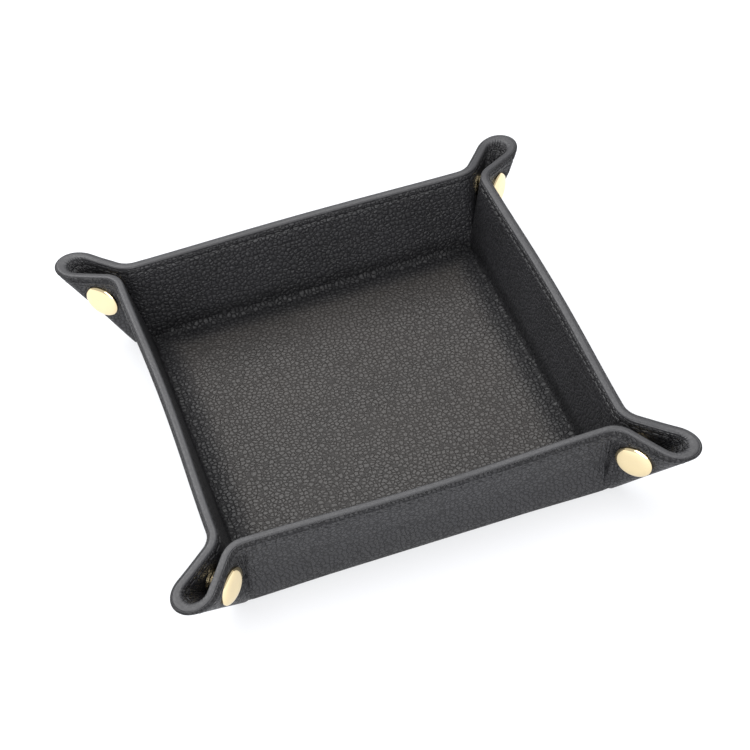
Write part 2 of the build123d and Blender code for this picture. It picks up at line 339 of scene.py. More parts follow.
class Sheet:
    """Formulas of the folded sheet at the front right corner, from the sizes in the panel."""

    def __init__(self, scene):
        sheet, spout, stitch = scene.tray_sheet, scene.tray_spout, scene.tray_stitch
        self.sheet, self.spout, self.stitch = sheet, spout, stitch
        # the wall: its way up and out, and the corner where its inner face meets the floor
        self.half = sheet.floor_side / 2
        self.thick = sheet.thickness
        self.height = sheet.wall_height
        lean = sheet.wall_lean
        self.lean = lean
        self.wall_up = np.array((0.0, -math.sin(lean), math.cos(lean)))
        self.wall_out = np.array((0.0, -math.cos(lean), -math.sin(lean)))
        self.apex = np.array((self.half, -self.half, self.thick))
        # the spout: its axis, and the headings at which the sheet enters and leaves the bend
        self.axis = AWAY * math.sin(spout.tilt) + UP * math.cos(spout.tilt)
        self.across = AWAY * math.cos(spout.tilt) - UP * math.sin(spout.tilt)
        rise = self.wall_up @ self.axis
        self.fold = np.array((self.wall_up @ ASIDE, self.wall_up @ self.across)) / rise
        trace = np.array((1.0, 0.0, 0.0)) - self.wall_up * (self.axis[0] / rise)
        self.entry = -math.atan2(-(trace @ ASIDE), trace @ self.across)
        self.flare = spout.flare
        self.entry_side = self.beside(self.entry)
        self.flare_side = self.beside(self.flare)
        self.flare_along = np.array((math.sin(self.flare), math.cos(self.flare)))
        side = ASIDE * self.entry_side[0] + self.across * self.entry_side[1]
        self.stretch = 1 / (side @ self.wall_out)
        self.ply = self.thick * self.stretch
        # the bend's radius and the straight's length for which the round ends at the reach
        turn = self.entry_side - self.flare_side
        target = np.array((0.0, spout.reach - spout.inner_radius)) - self.fold * spout.reference
        target = target - turn * sheet.thickness + self.flare_side * spout.inner_radius
        pivot = turn[0] * self.flare_along[1] - turn[1] * self.flare_along[0]
        along = target[0] * self.flare_along[1] - target[1] * self.flare_along[0]
        self.bend_radius = along / pivot
        self.straight = (turn[0] * target[1] - turn[1] * target[0]) / pivot
        self.seam = 2 + spout.seam_turn / (math.pi / 2 + self.flare)
        # how far out the outer face meets the table, and how far below the inner crease it does
        self.fold_offset = self.thick * (1 - math.sin(lean)) / math.cos(lean)
        self.foot = sheet.foot_round - self.fold_offset

    @staticmethod
    def beside(heading):
        """Direction square to a heading in the section, towards the leather's outer side."""
        return np.array((math.cos(heading), -math.sin(heading)))

    def section(self, u, s, o):
        """Point of the sheet. u runs along the section: 0 to 1 the bend beside the wall, 1 to 2 the
        straight of the pinch, 2 to 3 the spout's round up to the diagonal plane. s is the distance
        along the spout's axis, and the section grows with it; o is the offset from the inner face.
        Bend: centre 1 less the side direction times (radius - o). Straight: the bend's end plus its
        length. Round: centre 2 plus the side direction times (radius + o). The whole is then slid
        so that it begins in the plane of the wall's end and closes on the diagonal plane."""
        k = np.maximum(s, 0) / self.spout.reference
        first, second = np.clip(u, 0, 1), np.clip(u - 1, 0, 1)
        third = np.clip(u - 2, 0, 1)
        radius = self.bend_radius * k + self.ply
        centre_p = self.fold[0] * s + self.entry_side[0] * radius
        centre_q = self.fold[1] * s + self.entry_side[1] * radius
        heading = self.entry + (self.flare - self.entry) * first
        run = self.straight * k
        p = centre_p - np.cos(heading) * (radius - o) + self.flare_along[0] * run * second
        q = centre_q + np.sin(heading) * (radius - o) + self.flare_along[1] * run * second
        inner = self.spout.inner_radius * k
        round_p = centre_p - self.flare_side[0] * (radius + inner) + self.flare_along[0] * run
        round_q = centre_q - self.flare_side[1] * (radius + inner) + self.flare_along[1] * run
        closing = self.flare - (math.pi / 2 + self.flare) * third
        p = np.where(u > 2, round_p + np.cos(closing) * (inner + o), p)
        q = np.where(u > 2, round_q - np.sin(closing) * (inner + o), q)
        p = p - round_p * smooth((u - 1) / 2)
        point = self.apex + self.axis * s[..., None]
        point = point + ASIDE * p[..., None] + self.across * q[..., None]
        slide = ASIDE * math.sin(self.entry) + self.across * math.cos(self.entry)
        gap = (self.half - point[..., 0]) / slide[0] * np.clip(1 - u / 0.25, 0, 1) ** 2
        return point + slide * gap[..., None]

    def level(self, u, h, o):
        """Distance s at which the sheet reaches the height h. Height is measured up the wall, and
        over the spout's round square to the slope of the diagonal plane, for a smooth rim."""
        ease = smooth((u - 1.6) / 1.4)
        direction = self.wall_up - ASIDE * (self.wall_up @ ASIDE) * ease[..., None]
        start = self.section(u, np.zeros_like(u * h * o), o) - self.apex
        step = self.section(u, np.ones_like(u * h * o), o) - self.apex - start
        return (h - np.sum(start * direction, axis=-1)) / np.sum(step * direction, axis=-1)


def rim_rows(shape):
    """Rows over the rim, as heights and depths from the inner face: up the inner border, round the
    inner edge, across the crowned rim with its line between the plies, round the outer edge and
    down the outer border."""
    sheet = shape.sheet
    r, top, thick = sheet.rim_round, shape.height, shape.thick
    down = np.linspace(BORDER_HEIGHT, r, BORDER_ROWS)
    turn = np.linspace(0, math.pi / 2, EDGE_ROWS + 1)[1:]
    flat = np.linspace(0, 1, RIM_ROWS + 2)[1:-1]
    across = r + (thick - 2 * r) * flat
    line = LINE_DEPTH * np.exp(-(((across - sheet.ply_line * thick) / LINE_WIDTH) ** 2))
    crown = top + sheet.rim_crown * np.sin(math.pi * flat) - line
    up = top - r + r * np.sin(turn)
    out = r - r * np.cos(turn)
    h = (top - down, up, crown, up[::-1], (top - down)[::-1])
    d = (down * 0, out, across, (thick - out)[::-1], down * 0 + thick)
    return np.concatenate(h), np.concatenate(d)


def border_relief(shape, h):
    """How far the leather is pressed in at a height: bell-shaped valleys at the pressed line and at
    the stitch line, each its depth times e to the minus square of the distance over its width."""
    line = shape.height - shape.sheet.crease_below
    stitches = shape.height - shape.stitch.below
    pressed = shape.sheet.crease_depth * np.exp(-(((h - line) / PRESSED_WIDTH) ** 2))
    pulled = shape.stitch.groove * np.exp(-(((h - stitches) / GROOVE_WIDTH) ** 2))
    return pressed + pulled


def all_rows(shape):
    """Rows of one loop. Returns the rim's heights and its depths from the inner face, with the
    borders' valleys pressed in; for each of those rows the pale coat on the inner ply's edge and
    the darkening, which is a darker tone on the outer ply's edge and painted shade in the stitch
    line; and the low rows' shares of the way down."""
    h, d = rim_rows(shape)
    relief = border_relief(shape, h)
    inner = d < shape.thick / 2
    d = d + np.where(inner, relief, -relief)
    edge = shape.height - shape.sheet.rim_round
    outer_ply = smooth((d - shape.sheet.ply_line * shape.thick) / 0.0003)
    near_rim = smooth((h - (edge - COAT_FADE)) / COAT_FADE)
    wide_rim = smooth((h - (edge - 2 * COAT_FADE)) / COAT_FADE)
    # The darkening: a darker tone on the outer ply's rounded edge near the rim, and painted shade
    # in the outer stitch line.
    stitches = np.exp(-(((h - (shape.height - shape.stitch.below)) / COAT_FADE) ** 2)) * ~inner
    dark_tone_and_shade = np.maximum(EDGE_SHADE * wide_rim * outer_ply, STITCH_SHADE * stitches)
    coats_and_painted_shade = np.stack((near_rim * (1 - outer_ply), dark_tone_and_shade))
    low = np.linspace(1, 0, LOW_ROWS + 1)[:-1]
    return h, d, coats_and_painted_shade, low


def hum(x, seed):
    """Uneven wave without a period: three sines whose rates have no common measure."""
    wave = np.sin(x + seed) + 0.6 * np.sin(1.618 * x + 2.1 * seed)
    return (wave + 0.4 * np.sin(2.71 * x + 3.7 * seed)) / 2


def wrinkles(shape, run, seed, height):
    """Relief of the outer face near a corner: uneven waves along the run from the wall's end, which
    fade out along the wall, past the bend and towards the foot and the rim."""
    wave = hum(run / shape.spout.wrinkle_pitch * 6, seed + 4)
    before, past, fade = 0.016, 0.014, 0.006
    window = smooth(1 + run / before) * smooth((past - run) / fade)
    share = height / shape.height
    window = window * smooth((share - 0.05) / 0.3) * (1 - 0.75 * smooth((share - 0.82) / 0.1))
    return shape.spout.wrinkle_depth * wave * window


def swell(shape, x, height):
    """How far the outer face stands out near the foot: more towards the wall's ends, and less up
    the wall."""
    sheet = shape.sheet
    start, reach = 0.03, 0.03
    foot = smooth((np.abs(x) - start) / reach)
    foot = sheet.foot_swell + (sheet.heel_swell - sheet.foot_swell) * foot
    return foot * (1 - smooth(height / sheet.swell_height))


def sway(shape, points, amount):
    """Front wall's points bowed outwards: most at the rim's middle, none at the ends and foot."""
    share = np.clip((points[..., 2] - shape.thick) / (shape.height * math.cos(shape.lean)), 0, 1)
    middle = (1 - np.clip(points[..., 0] / shape.half, -1, 1) ** 2) ** 2
    return points + shape.wall_out * (amount * share ** 1.3 * middle)[..., None]


def wall_loops(shape, near_seed, far_seed):
    """Loops of the front wall, one for each place along it: the floor's border, the rounded crease,
    the inner face, the rim, the outer face with its swell, and the foot. Both bends are curves of
    second degree. Points inside the creases draw in so that neighbours meet in a mitre. Also
    returns each row's pale coat and its darkening; round the floor's crease the darkening is
    painted shade, which fades out up the inner face."""
    crease_fade, shade_fade = 0.009, 0.007
    along = shape.half * np.sin(np.linspace(-1, 1, WALL_LOOPS) * math.pi / 2)
    x = along[:, None]
    h, d, coats_and_painted_shade, low = all_rows(shape)
    bend = shape.sheet.crease_round * smooth((shape.half - np.abs(x)) / crease_fade)
    t = np.linspace(0, 1, BEND_ROWS)[None, :]
    up_y, up_z = shape.wall_up[1:]
    crease_y = (1 - t) ** 2 * bend + t ** 2 * bend * up_y - shape.half
    crease_z = t ** 2 * bend * up_z + shape.thick
    seed = np.where(x > 0, far_seed, near_seed)
    run = np.abs(x) - shape.half
    far = np.clip((d - shape.thick * 0.6) / (shape.thick * 0.4), 0, 1)
    inner_h = bend + (h[0] - bend) * (1 - low[1:])
    rim_h = np.broadcast_to(h, (len(along), len(h)))
    outer_h = np.broadcast_to(h[0] + (shape.foot - h[0]) * low[::-1], (len(along), len(low)))
    heights = np.concatenate((inner_h, rim_h, outer_h), axis=1)
    depths = np.concatenate((
        0 * inner_h,
        d + wrinkles(shape, run, seed, rim_h) * far,
        shape.thick + wrinkles(shape, run, seed, outer_h) + swell(shape, x, outer_h)), axis=1)
    y = shape.apex[1] + heights * up_y + depths * shape.wall_out[1]
    z = shape.apex[2] + heights * up_z + depths * shape.wall_out[2]
    corner = -shape.half - shape.fold_offset - swell(shape, x, 0 * x)
    inward = corner + shape.sheet.foot_round
    t = t[:, 1:]
    under_y = y[:, -1:] * (1 - t) ** 2 + corner * 2 * t * (1 - t) + inward * t ** 2
    under_z = z[:, -1:] * (1 - t) ** 2
    strip = 0 * x - (shape.half - shape.sheet.strip)
    y = np.concatenate((crease_y, y, under_y, 0 * x - shape.half, strip, strip), axis=1)
    z = np.concatenate((crease_z, z, under_z, 0 * x, 0 * x, 0 * x + shape.thick), axis=1)
    inset = np.clip(1 - (y + shape.half) / shape.half, None, 1)
    inner_rows = BEND_ROWS + LOW_ROWS - 1
    strip_rows = 3
    coats_and_painted_shade = np.pad(coats_and_painted_shade, ((0, 0), (inner_rows, LOW_ROWS + BEND_ROWS - 1 + strip_rows)))
    # Painted shade round the floor's crease: full in the bend and on the floor's strip, fading out
    # up the inner face.
    coats_and_painted_shade[1, :BEND_ROWS] = BORDER_SHADE
    fade = 1 - smooth((1 - low[1:]) * h[0] / shade_fade)
    coats_and_painted_shade[1, BEND_ROWS:inner_rows] = BORDER_SHADE * fade
    coats_and_painted_shade[1, -strip_rows:] = BORDER_SHADE
    return np.stack((x * inset, y, z), axis=-1), coats_and_painted_shade


def corner_loops(shape, u, seed):
    """Loops of the sheet round the front right corner, one for each u, negative past the diagonal.
    Low rows run straight down the rulings from the border to the foot, and the foot is a curve of
    second degree from the outer face to the floor's underside. Also returns the pale coat of each
    row and its darkening (a darker tone on the outer ply's edge and painted shade at the stitches),
    and the middle of the sheet beside each point."""
    side = np.where(u < 0, -1.0, 1.0)
    u = np.abs(u)[:, None]
    h, d, coats_and_painted_shade, low = all_rows(shape)
    top_h = h[0]
    # folds inside the round, wrinkles outside beside the wall
    turn = (3 - u) * side[:, None]
    wave = shape.spout.fold_count * (turn + 0.06 * hum(turn * 5, seed))
    ridge = np.sin(2 * math.pi * wave) * 0.5
    ridge = ridge * (0.7 + 0.3 * hum(turn * 9, seed + 1)) * smooth((u - 1.75) / 0.5)
    run = u * 0.0115

    def inner_relief(height):
        share = smooth((height / shape.height - 0.15) / 0.6)
        return -shape.spout.fold_depth * ridge * share

    depth = np.broadcast_to(d, (len(u), len(d)))
    near = np.clip(1 - depth / (shape.thick * 0.55), 0, 1) ** 1.5
    far = np.clip((depth - shape.thick * 0.6) / (shape.thick * 0.4), 0, 1)
    height = np.broadcast_to(h, depth.shape)
    offset = depth + wrinkles(shape, run, seed, height) * far
    offset = offset * shape.stretch + inner_relief(height) * near
    s_rim = shape.level(np.broadcast_to(u, depth.shape), height, offset)
    rim = shape.section(np.broadcast_to(u, depth.shape), s_rim, offset)

    share = np.broadcast_to(low, (len(u), len(low)))
    wide = np.broadcast_to(u, share.shape)
    inner_top = shape.level(wide, np.full(share.shape, top_h), 0 * share)
    inner_low, outer_low = 0.0012, 0.0022
    s_inner = inner_low + (inner_top - inner_low) * (1 - share)
    o_inner = inner_relief(s_inner / inner_top * top_h)
    inner = shape.section(wide, s_inner, o_inner)
    out = np.full(share.shape, shape.ply)
    outer_top = shape.level(wide, np.full(share.shape, top_h), out)
    foot_s = shape.level(u * 0, np.full(u.shape, shape.foot), np.full(u.shape, shape.ply))
    s_low = foot_s + (outer_low - foot_s) * smooth(u / 1.4)
    down = share[:, ::-1]
    s_outer = outer_top + (s_low - outer_top) * down
    low_h = top_h + (shape.foot - top_h) * down
    o_outer = out + wrinkles(shape, run, seed, low_h) * shape.stretch
    outer = shape.section(wide, s_outer, o_outer)
    heel = swell(shape, shape.half, low_h) * (1 - smooth((u - 0.8) / 2.2))
    outer = outer + shape.wall_out * heel[..., None]

    # the foot's outline: a curve that leaves the wall's end along the wall and comes to its tip
    # square to the diagonal plane
    first = np.array((shape.half, -shape.half - shape.fold_offset - shape.sheet.heel_swell, 0.0))
    reach = shape.half + shape.sheet.corner_foot
    tip = np.array((reach, -reach, 0.0))
    meet = np.array((reach + first[1] + reach, first[1], 0.0))
    go = ((u / 3) ** 2)[..., None]
    foot = first * (1 - go) ** 2 + meet * 2 * go * (1 - go) + tip * go ** 2
    centre = np.array((shape.half, -shape.half, 0.0))
    inward = centre - foot
    inward = foot + inward / np.linalg.norm(inward, axis=-1, keepdims=True) * shape.sheet.foot_round
    t = np.linspace(0, 1, FOOT_ROWS + 1)[1:][None, :, None]
    start = outer[:, -1:]
    drop = np.linalg.norm(start - foot, axis=-1, keepdims=True)
    ankle = foot + (start - foot) * np.minimum(1, shape.sheet.foot_round / drop)
    straight = start + (ankle - start) * t
    bend = ankle * (1 - t) ** 2 + foot * 2 * t * (1 - t) + inward * t ** 2
    hub = np.broadcast_to(centre, (len(u), 1, 3))
    top = np.broadcast_to(shape.apex, (len(u), 1, 3))
    loops = np.concatenate((top, inner, rim, outer, straight, bend, hub), axis=1)
    # nothing reaches back over the wall's end
    loops[..., 0] = np.maximum(loops[..., 0], shape.half + 1e-5 * u)
    foot_rows = 2 * FOOT_ROWS + 1
    coats_and_painted_shade = np.pad(coats_and_painted_shade, ((0, 0), (1 + LOW_ROWS, LOW_ROWS + foot_rows)))
    middle = np.full(u.shape, shape.ply / 2)
    s_top = shape.level(u, np.full(u.shape, shape.height - shape.thick / 2), middle)
    s_core = np.minimum(np.concatenate((0 * u, s_inner, s_rim, s_outer), axis=1), s_top)
    s_core = np.concatenate((s_core, np.repeat(s_core[:, -1:], foot_rows, axis=1)), axis=1)
    middle = np.full(s_core.shape, shape.ply / 2)
    core = shape.section(np.broadcast_to(u, s_core.shape), s_core, middle)
    loops = np.where((side < 0)[:, None, None], in_diagonal(loops), loops)
    core = np.where((side < 0)[:, None, None], in_diagonal(core), core)
    return loops, coats_and_painted_shade, core


def rounded_end(shape, loop, core, outward):
    """Rings that carry a loop's end on as a half round about the sheet's middle: each ring is the
    loop drawn in to its core by the cosine of a turn, and moved outwards by the turn's sine. A
    little thinner than the sheet, it lies inside the next piece and shows when the two part."""
    thinner, foot, fade = 0.93, 0.004, 0.003
    turn = np.radians((0, 14, 30, 46, 62, 76))[:, None, None]
    reach = outward * (shape.thick / 2 * thinner)
    above = smooth((loop[:, 2] - foot) / fade)[:, None]
    return core + (loop - core) * thinner * np.cos(turn) + reach * above * np.sin(turn)


def press_round_snaps(shape, loops, snap):
    """Leather pressed flat under the cap and under the inner disc of a snap. Inside the disc's
    radius the surface is held behind the disc, and round it the press fades out."""
    cap_fade, disc_fade = 0.0022, 0.0015
    rel = loops - snap["centre"]
    p = rel @ ASIDE
    far = np.linalg.norm(rel - p[..., None] * ASIDE, axis=-1)
    outside = p > (snap["seat"] + snap["inner"]) / 2
    fade = 1 - smooth((far - snap["cap_radius"]) / cap_fade)
    over = np.clip(p - snap["seat"], 0, None) * fade * outside
    fade = 1 - smooth((far - snap["disc_radius"]) / disc_fade)
    under = np.clip(snap["inner"] - p, 0, None) * fade * ~outside
    return loops - ASIDE * (over - under)[..., None]


# ---------------------------------------------------------------- materials


class Wires:
    """Short hand for one material's nodes."""

    def __init__(self, name):
        self.material = bpy.data.materials.new(name)
        self.material.use_nodes = True
        self.nodes = self.material.node_tree.nodes
        self.links = self.material.node_tree.links
        self.shader = self.nodes["Principled BSDF"]

    def put(self, node, key, value):
        """Links a socket to one of a node's inputs, or sets that input's value."""
        if isinstance(value, bpy.types.NodeSocket):
            self.links.new(value, node.inputs[key])
        else:
            node.inputs[key].default_value = value

    def add(self, kind, inputs=None, **settings):
        """Adds a node with its settings and inputs."""
        node = self.nodes.new(kind)
        for key, value in settings.items():
            setattr(node, key, value)
        for key, value in (inputs or {}).items():
            self.put(node, key, value)
        return node

    def place(self):
        """The piece's own coordinates."""
        return self.add("ShaderNodeTexCoord").outputs["Object"]

    def noise(self, place, scale, detail=2.0, output="Fac"):
        """Soft noise at a place."""
        node = self.add("ShaderNodeTexNoise", {"Vector": place, "Scale": scale, "Detail": detail})
        return node.outputs[output]

    def mark(self, name):
        """The value that the mesh carries per point under a name, or 0."""
        return self.add("ShaderNodeAttribute", attribute_name=name).outputs["Fac"]

    def maths(self, operation, first, second):
        """One operation on two values."""
        return self.add("ShaderNodeMath", {0: first, 1: second}, operation=operation).outputs[0]

    def blend(self, factor, first, second):
        """The colour between two."""
        node = self.add("ShaderNodeMix", {0: factor, 6: first, 7: second}, data_type="RGBA")
        return node.outputs[2]

    def ramp(self, value, low, high, start=0.0, end=1.0):
        """A value taken from the range low to high to the range start to end, and held there."""
        node = self.add("ShaderNodeMapRange", {"Value": value, "From Min": low, "From Max": high,
                                               "To Min": start, "To Max": end})
        return node.outputs[0]

    def surface(self, colour, roughness, **inputs):
        """Sets the shader's colour, roughness and other inputs, with _ for a space."""
        self.put(self.shader, "Base Color", colour)
        self.put(self.shader, "Roughness", roughness)
        for key, value in inputs.items():
            self.put(self.shader, key.replace("_", " "), value)

    def relief(self, height, strength, distance):
        """Small relief on the surface: a height of 1 stands out by the distance."""
        bump = self.add("ShaderNodeBump", {"Height": height, "Strength": strength,
                                           "Distance": distance})
        self.put(self.shader, "Normal", bump.outputs["Normal"])


def tinted(colour, factors):
    """A colour with its red, green and blue multiplied."""
    return tuple(c * f for c, f in zip(colour[:3], factors)) + (1,)


def leather_material(scene):
    """Pebble-grain leather. The grain is made of cells of uneven size: their borders are its
    valleys and their middles stand highest; painted shade darkens the valleys' colour and dims
    their shine. Over it lie fine pores, slow changes of tone, painted light that makes the floor's
    leather paler and warmer, a smoother, paler coat of edge paint on the inner ply's edge, a darker
    tone on the outer ply's edge, and painted shade along the stitches and round the floor."""
    look = scene.tray_finish
    w = Wires("black_leather")
    place = w.place()
    shift = place
    for scale, detail, reach in ((420.0, 2.0, 0.0007), (1500.0, 1.0, 0.0003)):
        wave = w.noise(place, scale, detail, "Color")
        shift = w.add("ShaderNodeVectorMath", {0: wave, 1: (reach,) * 3, 2: shift},
                      operation="MULTIPLY_ADD").outputs[0]
    cells = {"Vector": shift, "Scale": 1 / look.grain, "Randomness": 0.85}
    border = w.add("ShaderNodeTexVoronoi", cells, feature="DISTANCE_TO_EDGE").outputs["Distance"]
    border = w.add("ShaderNodeMapRange", {"Value": border, "From Max": 0.20},
                   interpolation_type="SMOOTHSTEP").outputs[0]
    middle = w.add("ShaderNodeTexVoronoi", cells, feature="F1").outputs["Distance"]
    pebble = w.maths("ADD", w.maths("MULTIPLY", border, 0.7), w.ramp(middle, 0.75, 0.0, 0.0, 0.3))
    pores = w.noise(place, 2600.0, 3.0)
    tone = w.noise(place, 38.0, 4.0)
    paint, dark_tone_and_shade, on_floor = w.mark("edge_paint"), w.mark("dark_edge_and_painted_shade"), w.mark("floor_share")
    bare = w.maths("SUBTRACT", 1.0, paint)

    # The floor's leather is a paler, warmer copy of the walls' leather: painted light on the floor
    # that faces the lamps. Near the floor's border it fades back: painted shade.
    base = w.blend(on_floor, tuple(look.leather), tuple(look.floor_leather))
    # Painted shade in the grain's valleys: darker colour there, times slow random tone and the
    # darkening mark (the outer ply's edge tone and painted shade).
    shade = w.ramp(pebble, 0.1, 0.8, 0.66, 1.05)
    shade = w.maths("MULTIPLY", shade, w.ramp(tone, 0.35, 0.75, 0.9, 1.3))
    shade = w.maths("MULTIPLY", shade, w.ramp(dark_tone_and_shade, 0.0, 1.0, 1.0, 0.45))
    base = w.add("ShaderNodeVectorMath", {0: base, "Scale": shade}, operation="SCALE").outputs[0]
    worn = tinted(look.edge_paint, (0.7, 0.7, 0.7))
    worn = w.blend(w.ramp(tone, 0.3, 0.7, 0.0, 0.5), tuple(look.edge_paint), worn)

    gloss = w.ramp(pebble, 0.0, 1.0, 0.56, 0.42)
    gloss = w.maths("ADD", gloss, w.ramp(tone, 0.3, 0.7, -0.04, 0.04))
    gloss = w.maths("ADD", gloss, w.maths("MULTIPLY", paint, -0.04))
    # Painted shade as weaker shine in the grain's valleys and under the darkening mark; the edge
    # paint shines more.
    shine = w.ramp(pebble, 0.1, 0.9, 0.32, 0.49)
    shine = w.maths("MULTIPLY", shine, w.ramp(dark_tone_and_shade, 0.0, 1.0, 1.0, 0.55))
    shine = w.maths("MAXIMUM", shine, w.maths("MULTIPLY", paint, 0.5))
    w.surface(w.blend(paint, base, worn), gloss, Specular_IOR_Level=shine)

    height = w.maths("ADD", pebble, w.maths("MULTIPLY", pores, 0.22))
    calm = w.maths("ADD", w.maths("MULTIPLY", bare, 0.88), 0.12)
    height = w.maths("MULTIPLY", height, calm)
    height = w.maths("MULTIPLY", height, w.ramp(on_floor, 0.0, 1.0, 1.0, 0.65))
    w.relief(height, 1.0, 0.00026)
    return w.material


def thread_material(scene):
    """Waxed thread: plies that wind round it as fine slanting bands."""
    look = scene.tray_finish
    w = Wires("waxed_thread")
    bands = w.add("ShaderNodeTexWave", {"Vector": w.place(), "Scale": 900.0, "Distortion": 1.5},
                  bands_direction="DIAGONAL").outputs["Fac"]
    w.surface(w.blend(bands, tuple(look.thread), tinted(look.thread, (2.2, 2.2, 2.2))), 0.5)
    w.relief(bands, 0.4, 0.00008)
    return w.material


def gold_material(scene):
    """Polished pale gold plating with very fine rubbing marks and a slow change of tone."""
    look = scene.tray_finish
    w = Wires("pale_gold_plating")
    place = w.place()
    slow, fine = w.noise(place, 90.0, 3.0), w.noise(place, 5200.0)
    deep = tinted(look.gold, (0.94, 0.90, 0.82))
    rubbed = w.ramp(fine, 0.3, 0.7, 0.08, 0.12)
    w.surface(w.blend(slow, tuple(look.gold), deep), rubbed, Metallic=1.0)
    w.relief(fine, 0.08, 0.00002)
    return w.material


def steel_material():
    """Drawn steel wire with fine marks along it."""
    w = Wires("spring_wire")
    marks = w.noise(w.place(), 3000.0)
    steel = w.blend(marks, (0.5, 0.5, 0.52, 1), (0.62, 0.62, 0.63, 1))
    w.surface(steel, w.ramp(marks, 0.3, 0.7, 0.25, 0.4), Metallic=1.0)
    return w.material


def board_material():
    """Grey-brown fibre board: long fibres in two tones."""
    w = Wires("fibre_board")
    fibres = w.noise(w.place(), 800.0, 6.0)
    w.surface(w.blend(fibres, (0.17, 0.12, 0.08, 1), (0.3, 0.23, 0.16, 1)), 0.85)
    return w.material


def material_once(name, make, *values):
    """The material of that name, made on first use."""
    return bpy.data.materials.get(name) or make(*values)


def dress(piece, material):
    """Gives a piece its one material."""
    piece.data.materials.clear()
    piece.data.materials.append(material)


# ---------------------------------------------------------------- operators


def snap_measures(shape):
    """Where the snap of the front right corner is, read from its solids at rest: its centre on the
    diagonal plane, the cap's seat, the inner disc's back, and both radii."""
    def spread(node):
        co = np.array([v.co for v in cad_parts[node].data.vertices], float)
        return co, co @ ASIDE - shape.apex @ ASIDE

    def from_axis(points):
        off = points - centre
        return np.linalg.norm(off - (off @ ASIDE)[:, None] * ASIDE, axis=1)

    cap, cap_p = spread("flap_front_right_cap")
    stud, stud_p = spread("flap_front_right_stud")
    ring = cap[cap_p > cap_p.max() - CAP_DEPTH]
    centre = (ring.min(axis=0) + ring.max(axis=0)) / 2
    centre = centre - ASIDE * ((centre - shape.apex) @ ASIDE)
    radius = from_axis(ring).max()
    wide = from_axis(cap) > radius * 0.98
    return {"centre": centre, "cap_radius": radius + 0.0001,
            "disc_radius": from_axis(stud).max() + 0.0003,
            "seat": cap_p[wide].min() - SNAP_GAP, "inner": stud_p.max() + SNAP_GAP}


class TRAY_OT_floor(bpy.types.Operator):
    """Builds the floor's leather: a slab whose top is a height field with a very slow swell"""

    bl_idname = "tray.floor"
    bl_label = "Floor leather"

    def execute(self, context):
        shape = Sheet(context.scene)
        rise, calm_width, shade_width, tone_width = 0.00012, 0.012, 0.010, 0.009
        side = shape.half - shape.sheet.strip
        line = np.linspace(-side, side, 121)
        x, y = np.meshgrid(line, line, indexing="ij")
        calm = smooth((side - np.abs(x)) / calm_width) * smooth((side - np.abs(y)) / calm_width)
        wave = np.sin(x * 95 + 1) * np.cos(y * 80) + 0.7 * np.sin(x * 41 - y * 60)
        top = np.stack((x, y, shape.thick + rise * calm * wave), axis=-1).reshape(-1, 3)
        under = np.stack((x, y, 0 * x), axis=-1).reshape(-1, 3)
        count = len(line)
        over = grid_faces(count, count, False)
        faces = over.tolist() + (over[:, ::-1] + count * count).tolist()
        ids = np.arange(count * count).reshape(count, count)
        for edge in (ids[:, 0], ids[-1, :], ids[::-1, -1], ids[0, ::-1]):
            low = edge + count * count
            faces += np.stack((edge[1:], edge[:-1], low[:-1], low[1:]), axis=-1).tolist()
        # Painted shade round the floor's border: the darkening mark rises and the floor's paler
        # leather fades back to the walls' darker leather within about a centimetre of the edge.
        inside = (side - np.maximum(np.abs(x), np.abs(y))).reshape(-1)
        border = BORDER_SHADE * (1 - smooth((inside + 0.001) / shade_width))
        piece = add_piece("floor_leather", np.concatenate((top, under)), faces,
                          {"dark_edge_and_painted_shade": np.tile(border, 2),
                           "floor_share": np.tile(smooth(inside / tone_width), 2)})
        black = material_once("black_leather", leather_material, context.scene)
        dress(piece, black)
        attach(piece, "base")
        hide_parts("base_outer_leather", "base_lining")
        for index, wall in enumerate(WALLS):
            self.corner(shape, index, wall, black)
        return {"FINISHED"}

    @staticmethod
    def corner(shape, index, wall, black):
        """Dome of leather inside a corner, which shows when the walls lie down. Its height is its
        rise times the square root of one less the square of the distance over the radius."""
        a = np.linspace(0, 2 * math.pi, 33)[:-1]
        up = np.radians(np.linspace(0, 88, 12))[:, None]
        x = shape.half + DOME_RADIUS * np.cos(up) * np.cos(a)
        y = -shape.half + DOME_RADIUS * np.cos(up) * np.sin(a)
        z = DOME_LOW + DOME_RISE * np.sin(up) + 0 * a
        rings = np.stack((x, y, z), axis=-1)
        piece = loft(f"corner_{wall}_leather", quarter_turn(rings, index), {})
        dress(piece, black)
        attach(piece, "base")


class TRAY_OT_walls(bpy.types.Operator):
    """Builds the four walls: the sheet's profile carried along each side of the floor"""

    bl_idname = "tray.walls"
    bl_label = "Wall leather"

    def execute(self, context):
        shape = Sheet(context.scene)
        black = material_once("black_leather", leather_material, context.scene)
        for index, wall in enumerate(WALLS):
            loops, coats_and_painted_shade = wall_loops(shape, (index - 1) % 4 * 2.3 + 1.1, index * 2.3)
            loops = sway(shape, loops, shape.sheet.sway[index])
            piece = loft(f"wall_{wall}_leather", quarter_turn(loops, index),
                         {"edge_paint": coats_and_painted_shade[0], "dark_edge_and_painted_shade": coats_and_painted_shade[1]})
            dress(piece, black)
            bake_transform(piece)
            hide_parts(f"wall_{wall}_outer_leather", f"wall_{wall}_lining")
        return {"FINISHED"}


